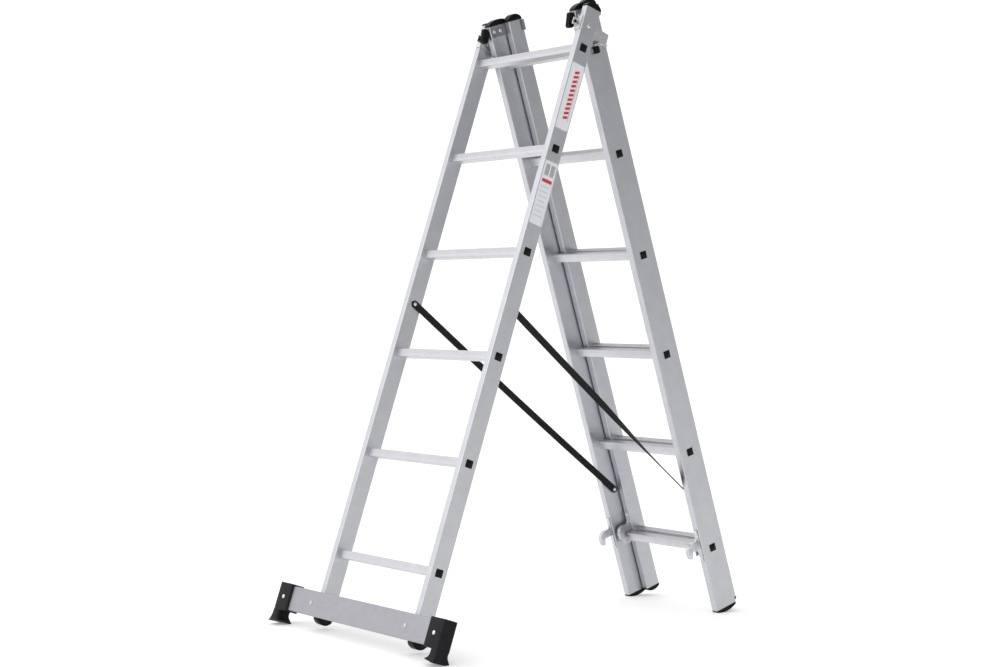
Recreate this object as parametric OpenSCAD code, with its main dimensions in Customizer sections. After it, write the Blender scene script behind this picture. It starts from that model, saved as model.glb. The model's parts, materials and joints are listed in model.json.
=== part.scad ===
// Multi position ladder: three aluminium sections, standing open as an A-frame.
// Each section is drawn in its own frame: X across, +Y to the rear, +Z up along the stiles,
// with its origin on the axis of its top rung. on_front() and on_rear() place the sections.
// The floor is at Z = 0 and the front of the ladder faces -Y.

/* [Stance] */
// Lean of the front section from the vertical, degrees
front_lean = 19; // [17:0.1:21]
// Lean of the rear sections from the vertical, degrees
rear_lean = 17.2; // [15:0.1:19]
// Height of the front section's top rung axis above the floor
top_rung_h = 1518; // [1500:1:1540]
// Height of the fold axis above the front section's top rung, along the stile
fold_up = 24.5; // [20:0.5:30]

/* [Sections] */
// Overall width of the front section
front_w = 470; // [460:1:480]
// Overall width of the rear section
rear_w = 400; // [396:1:402]
// Overall width of the third section
third_w = 350; // [346:1:352]
// Thickness of a stile, across the ladder
stile_t = 21; // [20:0.5:22]
// Depth of a front stile
front_d = 48; // [46:1:50]
// Depth of a rear stile
rear_d = 73; // [71:1:74]
// Depth of a third section stile
third_d = 47; // [45:1:48]
// Wall of the stile extrusions
stile_wall = 1.8; // [1.5:0.1:2.2]
// Distance of the front stiles' top ends above the top rung
front_above = 110; // [106:1:114]
// Distance of the rear stiles' top ends above the top rung
rear_above = 113; // [109:1:117]
// Distance of the third stiles' top ends above the top rung
third_above = 114; // [109:1:115]
// Distance of the front stiles' lower ends below the top rung
front_below = 1575; // [1570:1:1580]
// Distance of the third stiles' lower ends below the top rung
third_below = 1574; // [1570:1:1578]

/* [Rungs] */
// Rungs in each section
rung_count = 6; // [6:1:6]
// Distance between rungs
rung_pitch = 280; // [280:1:280]
// Side of the square rung tube
rung_s = 22; // [21:0.5:23]
// Wall of the rung tube
rung_wall = 1.8; // [1.5:0.1:2.2]
// Height of the anti-slip ribs
rib_h = 0.7; // [0.5:0.1:0.9]

/* [Caps] */
// Rise of the top caps above the stiles
top_cap_h = 16; // [14:1:18]
// Rise of the third section's top caps
third_cap_h = 18; // [16:1:20]
// Depth of the rear sections' end caps below the stiles
end_cap_h = 12; // [11:1:14]
// Depth of the front section's end caps below the stiles
front_end_cap_h = 18; // [15:1:20]
// Height of the caps' straight skirt
cap_skirt = 4; // [3:0.5:5]

/* [Stabiliser] */
// Half length of the bar that shows between the feet
bar_half = 326; // [320:1:330]
// Height of the bar's profile
bar_h = 66; // [64:1:68]
// Thickness of the bar's profile
bar_t = 26; // [25:0.5:27]
// Height of the bar's centre below the top rung, along the stile
bar_down = 1544.5; // [1542:0.5:1546]
// Outer half width of the feet at the bar
foot_out = 392; // [388:1:394]
// Wall of the feet's front
foot_wall = 6; // [4:0.5:6]

/* [Straps] */
// Width of the webbing
strap_w = 20; // [18:1:22]
// Distance of the strap's upper rivet below the top rung
strap_top = 700; // [690:5:710]
// Distance of the strap's lower rivet below the top rung
strap_low = 1260; // [1250:5:1270]

/* [Hardware] */
// Sheet thickness of the hinge plates
plate_t = 3; // [2.5:0.5:3]
// Radius of the fold pivots
pivot_r = 6; // [5.5:0.1:6.5]
// Width of the hooks
hook_w = 13; // [11:1:13]
// Reach of the hooks in front of their stiles
hook_reach = 46; // [45:1:48]

/* [Hidden] */
$fn = 48;
run_gap = 0.08;
skin = 0.3;
corner_r = 2.5;

fold_back = front_d / 2 + rear_d / 2 + 1.2;
pivot_y = fold_back * cos(front_lean) + fold_up * sin(front_lean);
pivot_z = top_rung_h - fold_back * sin(front_lean) + fold_up * cos(front_lean);
centre_shift = -4;

hook_plate_t = 3;
third_gap = 1;
third_y = rung_s / 2 + third_gap + hook_plate_t + third_d / 2;
third_face = third_y - third_d / 2;
rear_cap_r = arch_r(rear_d, end_cap_h - cap_skirt);
rear_below = (pivot_z - rear_cap_r) / cos(rear_lean) + rear_cap_r - end_cap_h;

front_in = front_w / 2 - stile_t;
rear_in = rear_w / 2 - stile_t;
plate_x = front_in - plate_t;

hook_rest = -rung_pitch * (rung_count - 1) + rung_s / 2 + rib_h;

rung_numbers = [for (k = [1:rung_count]) k];
sides = [-1, 1];

// Radius of an arch that is span wide and rise high
function arch_r(span, rise) = (span * span / 4 + rise * rise) / (2 * rise);

// ---- placing -------------------------------------------------------------

module on_front() {
    translate([0, centre_shift, top_rung_h])
        rotate([-front_lean, 0, 0])
            children();
}

module on_rear() {
    translate([0, centre_shift + pivot_y, pivot_z])
        rotate([rear_lean, 0, 0])
            children();
}

module on_third() {
    on_rear()
        translate([0, third_y, 0])
            children();
}

// Runs a flat outline, drawn with Y and Z as its two directions, along +X
module along_x(length) {
    rotate([90, 0, 90])
        linear_extrude(length)
            children();
}

module rod_x(x, y, z, r, length) {
    translate([x, y, z])
        rotate([0, 90, 0])
            cylinder(h = length, r = r);
}

module rod_y(x, y, z, r, length) {
    translate([x, y, z])
        rotate([-90, 0, 0])
            cylinder(h = length, r = r);
}

function rung_z(k) = -rung_pitch * (rung_count - k);

// ---- shared profiles -----------------------------------------------------

module rounded_rect(w, d, r) {
    square([w - 2 * r, d], center = true);
    square([w, d - 2 * r], center = true);
    for (sx = sides, sy = sides)
        translate([sx * (w / 2 - r), sy * (d / 2 - r)])
            circle(r);
}

module tube_profile(w, d, wall, r) {
    difference() {
        rounded_rect(w, d, r);
        rounded_rect(w - 2 * wall, d - 2 * wall, r - wall / 2);
    }
}

// One stile with the square cut-outs that its rungs pass through
module stile(side, width, depth, below, above) {
    x = side * (width / 2 - stile_t / 2);
    color([0.74, 0.75, 0.77])
        difference() {
            translate([x, 0, -below])
                linear_extrude(below + above)
                    tube_profile(stile_t, depth, stile_wall, corner_r);
            for (k = rung_numbers)
                translate([x, 0, rung_z(k)])
                    cube([stile_t + 2, rung_s, rung_s], center = true);
        }
}

// Ribbed square tube, flush with the stiles' outer faces
module rung(width, k) {
    ribbed = width - 2 * stile_t - 0.2;
    color([0.84, 0.84, 0.86])
        translate([-width / 2, 0, rung_z(k)]) {
            along_x(width)
                tube_profile(rung_s, rung_s, rung_wall, 1.5);
            translate([(width - ribbed) / 2, 0, 0])
                along_x(ribbed)
                    rung_ribs();
        }
}

module rung_ribs() {
    for (i = [-2:2])
        translate([i * 3.6 - 0.8, rung_s / 2 - 0.2])
            square([1.6, rib_h + 0.2]);
    for (i = [0:2])
        translate([-rung_s / 2 - rib_h, i * 3.6 - 0.2])
            square([rib_h + 0.2, 1.6]);
}

module rung_plugs(width, numbers) {
    color([0.1, 0.1, 0.11])
        for (side = sides, k = numbers)
            translate([side * (width / 2 + 0.6), 0, rung_z(k)])
                rotate([0, side * 90, 0]) {
                    linear_extrude(1.2, center = true)
                        rounded_rect(rung_s - 1.5, rung_s - 1.5, 1.5);
                    translate([0, 0, -6.1])
                        linear_extrude(11, center = true)
                            rounded_rect(rung_s - 2 * rung_wall - 0.2, rung_s - 2 * rung_wall - 0.2, 1);
                }
}

// Domed plug in a stile's end; up is 1 at the top and -1 at the bottom
module stile_caps(width, depth, height, end_z, up) {
    lip = 0.6;
    spigot = 10;
    dome_d = depth + 2 * lip;
    dome_r = arch_r(dome_d, height - cap_skirt);
    color([0.08, 0.08, 0.09])
        for (side = sides)
            translate([side * (width / 2 - stile_t / 2), 0, end_z])
                scale_z(up) {
                    translate([-stile_t / 2 - lip, 0, 0])
                        along_x(stile_t + 2 * lip)
                            intersection() {
                                translate([0, height - dome_r])
                                    circle(dome_r, $fn = 96);
                                translate([-dome_d / 2, 0])
                                    square([dome_d, height]);
                            }
                    translate([0, 0, -spigot])
                        linear_extrude(spigot + 0.5)
                            rounded_rect(stile_t - 2 * stile_wall - 0.2, depth - 2 * stile_wall - 0.2, 1.5);
                }
}

module scale_z(up) {
    if (up > 0)
        children();
    else
        mirror([0, 0, 1])
            children();
}

// A rivet along X: shank with a round head on both faces
module rivet_x(x, y, z, length, shank_r, head_r) {
    head_t = 1.6;
    rod_x(x, y, z, shank_r, length);
    rod_x(x - head_t, y, z, head_r, head_t);
    rod_x(x + length, y, z, head_r, head_t);
}

// ---- front section -------------------------------------------------------

module front_stile(side) {
    on_front()
        difference() {
            stile(side, front_w, front_d, front_below, front_above);
            front_stile_holes(side);
        }
}

// Holes for the bar's bolt, the hinge plate's rivet and the strap's rivet
module front_stile_holes(side) {
    x = side * (front_w / 2 - stile_t / 2);
    rod_y(x, -front_d / 2 - 1, -bar_down, 4.1, front_d + 2);
    rod_x(x - stile_t, plate_rivet[0], plate_rivet[1], 2.6, 2 * stile_t);
    rod_x(side > 0 ? front_in - 1 : -front_in - 8, 0, -strap_top, 3.1, 9);
}

module front_rung(k) {
    on_front()
        rung(front_w, k);
}

module front_rung_plugs() {
    on_front()
        rung_plugs(front_w, rung_numbers);
}

module front_top_caps() {
    on_front()
        stile_caps(front_w, front_d, top_cap_h, front_above, 1);
}

module front_end_caps() {
    on_front()
        stile_caps(front_w, front_d - 1.2, front_end_cap_h, -front_below, -1);
}

bar_y = -front_d / 2 - bar_t / 2;
bar_end = foot_out - 12;

module stabiliser_bar() {
    on_front()
        color([0.72, 0.73, 0.76])
            difference() {
                translate([-bar_end, bar_y, -bar_down])
                    along_x(2 * bar_end)
                        tube_profile(bar_t, bar_h, 2, 2.5);
                for (side = sides) {
                    rod_y(side * (front_w / 2 - stile_t / 2), bar_y - bar_t, -bar_down, 4.1, 2 * bar_t);
                    rod_y(side * foot_rivet_x, bar_y - bar_t, -bar_down, 3.1, 2 * bar_t);
                }
            }
}

// Carriage bolts through the bar and the stiles, with nuts behind
module stabiliser_bolts() {
    on_front()
        color([0.7, 0.7, 0.72])
            for (side = sides) {
                x = side * (front_w / 2 - stile_t / 2);
                rod_y(x, bar_y - bar_t / 2 - 2.5, -bar_down, 4, bar_t + front_d + 14);
                rod_y(x, bar_y - bar_t / 2 - 2.5, -bar_down, 7, 2.5);
                translate([x, front_d / 2, -bar_down])
                    rotate([-90, 0, 0])
                        cylinder(h = 7, r = 7.4, $fn = 6);
            }
}

foot_rivet_x = 358;

// Rubber foot: a sleeve over the bar's end, on a narrower leg that flares out to toe and heel
module foot(side) {
    wall = 4;
    face_y = bar_y - bar_t / 2 - foot_wall;
    back_y = -17;
    mid_y = back_y - 8;
    toe_out = foot_out + 2;
    sleeve_top = -bar_down + bar_h / 2 + wall;
    sleeve_low = -bar_down - bar_h / 2 - wall;
    leg_in = 361;
    flare_top = -1590;
    color([0.13, 0.13, 0.14])
        difference() {
            on_front()
                difference() {
                    union() {
                        foot_slab(side, bar_half, foot_out, face_y, back_y, sleeve_low, sleeve_top);
                        foot_slab(side, leg_in, foot_out, face_y, back_y, flare_top, sleeve_low + 1);
                        hull() {
                            foot_slab(side, leg_in, foot_out, face_y, back_y, flare_top, flare_top + 1);
                            foot_slab(side, leg_in - 10, toe_out, face_y - 6, mid_y, -1615, -1610);
                            foot_slab(side, leg_in - 8, toe_out, mid_y, back_y + 12, -1610, -1606);
                        }
                    }
                    translate([side > 0 ? 0 : -bar_end, bar_y, -bar_down])
                        along_x(bar_end)
                            rounded_rect(bar_t, bar_h, 2.5);
                    rod_y(side * foot_rivet_x, face_y - 1, -bar_down, 3.1, 60);
                }
            translate([0, 0, -100])
                cube([1200, 2000, 200], center = true);
        }
}

module foot_slab(side, x0, x1, y0, y1, z0, z1) {
    xa = side > 0 ? x0 : -x1;
    translate([xa, y0, z0])
        cube([x1 - x0, y1 - y0, z1 - z0]);
}

module foot_rivets() {
    on_front()
        color([0.82, 0.82, 0.84])
            for (side = sides) {
                y0 = bar_y - bar_t / 2 - foot_wall;
                rod_y(side * foot_rivet_x, y0 - 1.6, -bar_down, 3, bar_t + foot_wall + 3.6);
                rod_y(side * foot_rivet_x, y0 - 1.6, -bar_down, 5.5, 1.6);
            }
}

// ---- hinge plates and lock levers ----------------------------------------

plate_rivet = [-1, 60];
lever_pivot = [-33, 64];
tail_end = 82;

eye_x = rear_w / 2 + 0.8;
eye_r = 10.2;
shelf_z = 39;
shelf_t = 3.5;
strip_w = 14;

// Plate on the stile's inner face, seen from the side, with the lever's ear in front
module hinge_plate_outline() {
    difference() {
        union() {
            translate([-front_d / 2 - plate_t, 44])
                square([front_d / 2 + plate_t + 24, 37]);
            polygon([[20, 41], [tail_end, 41], [tail_end, 74], [20, 78]]);
            translate([-39.5, 55])
                square([16, 18]);
        }
        translate(lever_pivot)
            circle(3 + run_gap);
        translate(plate_rivet)
            circle(2.6);
    }
}

// Eye close beside the rear stile, joined to the plate by a shelf above it
module hinge_eye() {
    translate([eye_x, 0, 0])
        along_x(plate_t)
            difference() {
                union() {
                    translate([fold_back, fold_up])
                        circle(eye_r);
                    translate([fold_back - strip_w / 2, fold_up])
                        square([strip_w, shelf_z + 1 - fold_up]);
                }
                translate([fold_back, fold_up])
                    circle(pivot_r + run_gap);
            }
    translate([eye_x, fold_back - strip_w / 2, shelf_z])
        cube([plate_x + plate_t - eye_x, strip_w, shelf_t]);
}

// Bent steel plate: it wraps the stile's front, carries the lock lever on its ear, and reaches
// back outside the rear stile to hold the fold pivot in an eye
module hinge_plate() {
    lip_out = 11;
    lip_y = 42;
    translate([plate_x, 0, 0])
        along_x(plate_t)
            hinge_plate_outline();
    hinge_eye();
    translate([plate_x, -front_d / 2 - plate_t, 44])
        cube([stile_t - 1, plate_t, 37]);
    translate([plate_x, lip_y, 41])
        cube([lip_out, tail_end - lip_y, 2.5]);
}

module hinge_plates() {
    on_front()
        color([0.7, 0.71, 0.73])
            for (side = sides)
                mirror([side > 0 ? 0 : 1, 0, 0])
                    hinge_plate();
}

module hinge_plate_rivets() {
    on_front()
        color([0.8, 0.8, 0.82])
            for (side = sides) {
                length = stile_t + plate_t;
                x = side > 0 ? plate_x : -plate_x - length;
                rivet_x(x, plate_rivet[0], plate_rivet[1], length, 2.5, 4.5);
            }
}

// Swinging stop in front of the rear stile's top: a moulded block on its own pin
module lock_lever(side) {
    width = 15;
    inner = 183;
    gap = 0.4;
    head_t = 2;
    pin_end = plate_x + plate_t + gap + head_t;
    on_front()
        color([0.09, 0.09, 0.1])
            mirror([side > 0 ? 0 : 1, 0, 0]) {
                translate([inner, 0, 0])
                    along_x(width)
                        lever_outline();
                rod_x(inner + width, lever_pivot[0], lever_pivot[1], 4.2, plate_x - gap - inner - width);
                rod_x(inner, lever_pivot[0], lever_pivot[1], 3, pin_end - inner);
                rod_x(plate_x + plate_t + gap, lever_pivot[0], lever_pivot[1], 4.2, head_t);
            }
}

module lever_outline() {
    front_edge = [[-33, 87.5], [-42, 88.5], [-44.5, 85], [-37, 50]];
    rear_edge = [[-33, 48], [-24, 50.5], [-20.5, 60], [-25, 75]];
    polygon(concat(front_edge, rear_edge));
}

// ---- straps --------------------------------------------------------------

strap_rear_x = rear_in - 4.5;
strap_front_x = front_in - 2;

function front_point(y, z) = [
    centre_shift + y * cos(front_lean) + z * sin(front_lean),
    top_rung_h - y * sin(front_lean) + z * cos(front_lean)
];
function rear_point(y, z) = [
    centre_shift + pivot_y + y * cos(rear_lean) - z * sin(rear_lean),
    pivot_z + y * sin(rear_lean) + z * cos(rear_lean)
];

strap_a = front_point(0, -strap_top);
strap_b = rear_point(0, -strap_low);
strap_run = [strap_front_x - strap_rear_x, strap_b[0] - strap_a[0], strap_b[1] - strap_a[1]];
strap_fall = atan2(-strap_run[2], strap_run[1]);
strap_len = norm(strap_run);
strap_yaw = asin(strap_run[0] / strap_len);

// Webbing strap, flat against the stiles' inner faces, with an eyelet hole at each end
module strap(side) {
    strap_t = 1.6;
    hole_r = 4;
    color([0.06, 0.06, 0.07])
        translate([side * strap_front_x, strap_a[0], strap_a[1]])
            rotate([-strap_fall, 0, 0])
                rotate([0, 0, side * strap_yaw])
                    rotate([90, 0, 90])
                        linear_extrude(strap_t, center = true)
                            difference() {
                                union() {
                                    translate([0, -strap_w / 2])
                                        square([strap_len, strap_w]);
                                    circle(strap_w / 2);
                                    translate([strap_len, 0])
                                        circle(strap_w / 2);
                                }
                                circle(hole_r);
                                translate([strap_len, 0])
                                    circle(hole_r);
                            }
}

// Rivet with a washer head inboard of the strap, shank in the stile's inner wall
module strap_rivet(side, face_x, strap_x, z) {
    head_t = 1.2;
    head_x = strap_x - 1.6;
    length = face_x + 6 - head_x;
    rod_x(side > 0 ? head_x : -head_x - length, 0, z, 3, length);
    rod_x(side > 0 ? head_x - head_t : -head_x, 0, z, 7, head_t);
}

module strap_rivets_front() {
    on_front()
        color([0.8, 0.8, 0.82])
            for (side = sides)
                strap_rivet(side, front_in, strap_front_x, -strap_top);
}

module strap_rivets_rear() {
    on_rear()
        color([0.8, 0.8, 0.82])
            for (side = sides)
                strap_rivet(side, rear_in, strap_rear_x, -strap_low);
}

// ---- rear section --------------------------------------------------------

module rear_stile(side) {
    x = side * (rear_w / 2 - stile_t / 2);
    on_rear()
        difference() {
            stile(side, rear_w, rear_d, rear_below, rear_above);
            rod_x(side > 0 ? rear_in - 1 : -rear_in - 8, 0, -strap_low, 3.1, 9);
            for (y = guide_rivet_y)
                rod_x(x - stile_t, y, guide_rivet_z, 2.6, 2 * stile_t);
            for (z = hook_rivet_z)
                rod_y(x, -rear_d / 2 - 1, hook_rest + z, 3.1, 9);
        }
}

module rear_rung(k) {
    on_rear()
        rung(rear_w, k);
}

module rear_rung_plugs() {
    on_rear()
        rung_plugs(rear_w, [for (k = rung_numbers) if (k < rung_count) k]);
}

module rear_top_caps() {
    on_rear()
        stile_caps(rear_w, rear_d, top_cap_h, rear_above, 1);
}

module rear_end_caps() {
    on_rear()
        stile_caps(rear_w, rear_d - 1.2, end_cap_h, -rear_below, -1);
}

pivot_washer = eye_x - rear_w / 2 - skin;
pivot_journal = plate_t + 2 * skin;

// Moulded bush in each end of the rear section's top rung: spigot, washer, journal and head
module fold_pivots() {
    head_t = 4.9;
    on_rear()
        color([0.08, 0.08, 0.09])
            for (side = sides)
                mirror([side > 0 ? 0 : 1, 0, 0])
                    difference() {
                        union() {
                            rod_x(rear_w / 2 - 14, 0, 0, 8.9, 14);
                            rod_x(rear_w / 2, 0, 0, 9, pivot_washer);
                            rod_x(rear_w / 2, 0, 0, pivot_r, pivot_washer + pivot_journal);
                            rod_x(rear_w / 2 + pivot_washer + pivot_journal, 0, 0, 10.5, head_t);
                        }
                        rod_x(rear_w / 2 - 15, 0, 0, 4.1, pivot_washer + pivot_journal + 15.5);
                    }
}

module fold_pivot_pins() {
    on_rear()
        color([0.7, 0.7, 0.72])
            for (side = sides)
                mirror([side > 0 ? 0 : 1, 0, 0])
                    rod_x(rear_w / 2 - 13, 0, 0, 4, pivot_washer + pivot_journal + 13);
}

guide_t = 1.8;
guide_h = 30;
guide_z = 82;
guide_rivet_y = [-24, -3];
guide_rivet_z = guide_z + guide_h / 2;

// Bent bracket from the rear stile's inner face round the third stile's back
module upper_guide() {
    lip_d = 9;
    back_y = third_y + third_d / 2 + 1.5;
    flange_y = -rear_d / 2 + 4;
    inner_x = third_w / 2 - stile_t - 1.5 - guide_t;
    difference() {
        translate([rear_in - guide_t, flange_y, guide_z])
            cube([guide_t, back_y + guide_t - flange_y, guide_h]);
        for (y = guide_rivet_y)
            rod_x(rear_in - guide_t - 1, y, guide_rivet_z, 2.6, guide_t + 2);
    }
    translate([inner_x, back_y, guide_z])
        cube([rear_in - inner_x, guide_t, guide_h]);
    translate([inner_x, back_y - lip_d, guide_z])
        cube([guide_t, lip_d + guide_t, guide_h]);
}

module upper_guides() {
    on_rear()
        color([0.3, 0.3, 0.32])
            for (side = sides)
                mirror([side > 0 ? 0 : 1, 0, 0])
                    upper_guide();
}

module guide_rivets() {
    on_rear()
        color([0.82, 0.82, 0.84])
            for (side = sides, y = guide_rivet_y)
                mirror([side > 0 ? 0 : 1, 0, 0])
                    rivet_x(rear_in - guide_t, y, guide_rivet_z, stile_t + guide_t, 2.5, 4.5);
}

// ---- hooks and catches ---------------------------------------------------

hook_rivet_z = [-30, 45];
catch_t = 2.5;
catch_pivot = [-38, 9];

// Hook seen from the side: Y = 0 is the stile's face, Z = 0 is the seat on the rung
module hook_outline() {
    tip_t = 13;
    arm_h = 20;
    drop = 18;
    translate([-hook_plate_t, -40])
        square([hook_plate_t, 93]);
    difference() {
        union() {
            translate([-hook_reach + arm_h, skin])
                square([hook_reach - arm_h - 1, arm_h]);
            intersection() {
                translate([-hook_reach + arm_h, skin])
                    circle(arm_h);
                translate([-hook_reach, skin])
                    square([arm_h, arm_h]);
            }
            translate([-hook_reach, -drop + 4])
                square([tip_t, drop - 4 + skin]);
            translate([-hook_reach + 4, -drop])
                square([tip_t - 8, 8]);
            for (y = [-hook_reach + 4, -hook_reach + tip_t - 4])
                translate([y, -drop + 4])
                    circle(4);
        }
        translate(catch_pivot)
            circle(3 + run_gap);
    }
}

// Hook on a stile whose centre is at x; face_y is the stile's front face
module hook(x, face_y) {
    difference() {
        translate([x - hook_w / 2, face_y, hook_rest])
            along_x(hook_w)
                hook_outline();
        for (z = hook_rivet_z)
            rod_y(x, face_y - 10, hook_rest + z, 3.1, 12);
    }
}

module hook_rivets_at(x, face_y) {
    for (z = hook_rivet_z) {
        rod_y(x, face_y - hook_plate_t - 1.6, hook_rest + z, 3, 9);
        rod_y(x, face_y - hook_plate_t - 1.6, hook_rest + z, 5.5, 1.6);
    }
}

// Safety catch beside the hook's inner face: its toe closes the hook under the rung
module catch(side, x, face_y) {
    plate_x0 = x - hook_w / 2 - skin - catch_t;
    color([0.62, 0.63, 0.66])
        mirror([side > 0 ? 0 : 1, 0, 0])
            translate([0, face_y, hook_rest]) {
                translate([plate_x0, 0, 0])
                    along_x(catch_t)
                        catch_outline();
                rod_x(plate_x0, catch_pivot[0], catch_pivot[1], 3, catch_t + 2 * skin + hook_w + 1.7);
                rod_x(x + hook_w / 2 + skin, catch_pivot[0], catch_pivot[1], 5, 1.7);
            }
}

module catch_outline() {
    toe_top = -rung_s - rib_h - 2;
    toe_h = 7;
    stem = 10;
    translate(catch_pivot)
        circle(7);
    translate([catch_pivot[0] - stem / 2, toe_top - toe_h])
        square([stem, catch_pivot[1] - toe_top + toe_h]);
    translate([catch_pivot[0] - stem / 2, toe_top - toe_h])
        square([27, toe_h]);
}

rear_hook_x = rear_w / 2 - stile_t / 2;
third_hook_x = third_w / 2 - stile_t / 2;

module rear_hooks() {
    on_rear()
        color([0.72, 0.73, 0.75])
            for (side = sides)
                mirror([side > 0 ? 0 : 1, 0, 0])
                    hook(rear_hook_x, -rear_d / 2);
}

module rear_hook_rivets() {
    on_rear()
        color([0.82, 0.82, 0.84])
            for (side = sides)
                mirror([side > 0 ? 0 : 1, 0, 0])
                    hook_rivets_at(rear_hook_x, -rear_d / 2);
}

module third_hooks() {
    on_rear()
        color([0.72, 0.73, 0.75])
            for (side = sides)
                mirror([side > 0 ? 0 : 1, 0, 0])
                    hook(third_hook_x, third_face);
}

module third_hook_rivets() {
    on_rear()
        color([0.82, 0.82, 0.84])
            for (side = sides)
                mirror([side > 0 ? 0 : 1, 0, 0])
                    hook_rivets_at(third_hook_x, third_face);
}

module third_catch(side) {
    on_rear()
        catch(side, third_hook_x, third_face);
}

// ---- third section -------------------------------------------------------

module third_stile(side) {
    x = side * third_hook_x;
    on_third()
        difference() {
            stile(side, third_w, third_d, third_below, third_above);
            for (z = hook_rivet_z)
                rod_y(x, -third_d / 2 - 1, hook_rest + z, 3.1, 9);
        }
}

module third_rung(k) {
    on_third()
        rung(third_w, k);
}

module third_rung_plugs() {
    on_third()
        rung_plugs(third_w, rung_numbers);
}

module third_top_caps() {
    on_third()
        stile_caps(third_w, third_d, third_cap_h, third_above, 1);
}

module third_end_caps() {
    on_third()
        stile_caps(third_w, third_d, end_cap_h, -third_below, -1);
}

// ---- nodes ---------------------------------------------------------------

front_stile(-1);  // front_stile_left
front_stile(1);  // front_stile_right
for (k = rung_numbers)
    front_rung(k);
front_rung_plugs();
front_top_caps();
front_end_caps();
stabiliser_bar();
stabiliser_bolts();
foot(-1);  // foot_left
foot(1);  // foot_right
foot_rivets();
hinge_plates();
hinge_plate_rivets();
lock_lever(-1);  // lock_lever_left
lock_lever(1);  // lock_lever_right
strap(-1);  // strap_left
strap(1);  // strap_right
strap_rivets_front();
rear_stile(-1);  // rear_stile_left
rear_stile(1);  // rear_stile_right
for (k = rung_numbers)
    rear_rung(k);
rear_rung_plugs();
rear_top_caps();
rear_end_caps();
fold_pivots();
fold_pivot_pins();
upper_guides();
guide_rivets();
strap_rivets_rear();
rear_hooks();
rear_hook_rivets();
third_stile(-1);  // third_stile_left
third_stile(1);  // third_stile_right
for (k = rung_numbers)
    third_rung(k);
third_rung_plugs();
third_top_caps();
third_end_caps();
third_hooks();
third_hook_rivets();
third_catch(-1);  // third_catch_left
third_catch(1);  // third_catch_right
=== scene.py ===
"""Looks of the multi position ladder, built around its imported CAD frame.

Lengths inside a section are in millimetres, in that section's own frame: X across, +Y to the
rear, +Z up along the stiles, with the origin on the axis of its top rung.
"""

import json
import math

import bmesh
import bpy
from mathutils import Matrix, Vector


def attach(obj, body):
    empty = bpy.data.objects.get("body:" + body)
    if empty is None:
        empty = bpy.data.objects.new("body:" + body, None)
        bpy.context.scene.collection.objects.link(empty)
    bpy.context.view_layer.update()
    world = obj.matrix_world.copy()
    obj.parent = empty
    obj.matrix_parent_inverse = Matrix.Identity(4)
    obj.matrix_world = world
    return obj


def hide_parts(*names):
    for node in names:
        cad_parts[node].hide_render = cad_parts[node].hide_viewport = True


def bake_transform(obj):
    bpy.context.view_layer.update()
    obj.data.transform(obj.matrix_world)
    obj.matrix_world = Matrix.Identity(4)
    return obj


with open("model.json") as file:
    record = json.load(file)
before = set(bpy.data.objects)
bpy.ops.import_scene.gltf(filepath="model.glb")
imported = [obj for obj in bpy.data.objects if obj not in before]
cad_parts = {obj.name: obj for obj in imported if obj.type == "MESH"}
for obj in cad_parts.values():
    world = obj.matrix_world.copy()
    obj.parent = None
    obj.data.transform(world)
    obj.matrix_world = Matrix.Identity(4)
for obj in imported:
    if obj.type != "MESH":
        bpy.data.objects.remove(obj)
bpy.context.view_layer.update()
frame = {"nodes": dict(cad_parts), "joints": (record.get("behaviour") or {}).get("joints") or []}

MM = 0.001
SIDES = (-1, 1)

# ---- section frames --------------------------------------------------------

joints = {joint["name"]: joint for joint in frame["joints"]}
fold_axis = Vector(joints["fold"]["pos_m"])
slide_axis = joints["third_slide"]["axis"]

# The fold axis lies FOLD_BACK behind and FOLD_UP above the front section's top rung, and the
# third section's rungs lie THIRD_BACK behind the rear section's.
FRONT_LEAN = math.radians(19)
REAR_LEAN = math.atan2(-slide_axis[1], slide_axis[2])
FOLD_BACK = 61.7
FOLD_UP = 24.5
THIRD_BACK = 38.5


def section_frame(origin, lean):
    return Matrix.Translation(origin) @ Matrix.Rotation(lean, 4, "X") @ Matrix.Scale(MM, 4)


front_turn = Matrix.Rotation(-FRONT_LEAN, 3, "X")
front_origin = fold_axis - front_turn @ Vector((0, FOLD_BACK, FOLD_UP)) * MM
FRONT = section_frame(front_origin, -FRONT_LEAN)
REAR = section_frame(fold_axis, REAR_LEAN)
THIRD = REAR @ Matrix.Translation((0, THIRD_BACK, 0))


def local_box(node, place):
    """Lowest and highest corners of a CAD node in a section's frame, in mm."""
    back = place.inverted()
    points = [back @ vertex.co for vertex in frame["nodes"][node].data.vertices]
    low = Vector([min(point[i] for point in points) for i in range(3)])
    high = Vector([max(point[i] for point in points) for i in range(3)])
    return low, high


RUNG_PITCH = 280
RUNG_COUNT = 6
RUNG_S = 22
RIB_H = 0.7

# ---- materials ---------------------------------------------------------------


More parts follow.
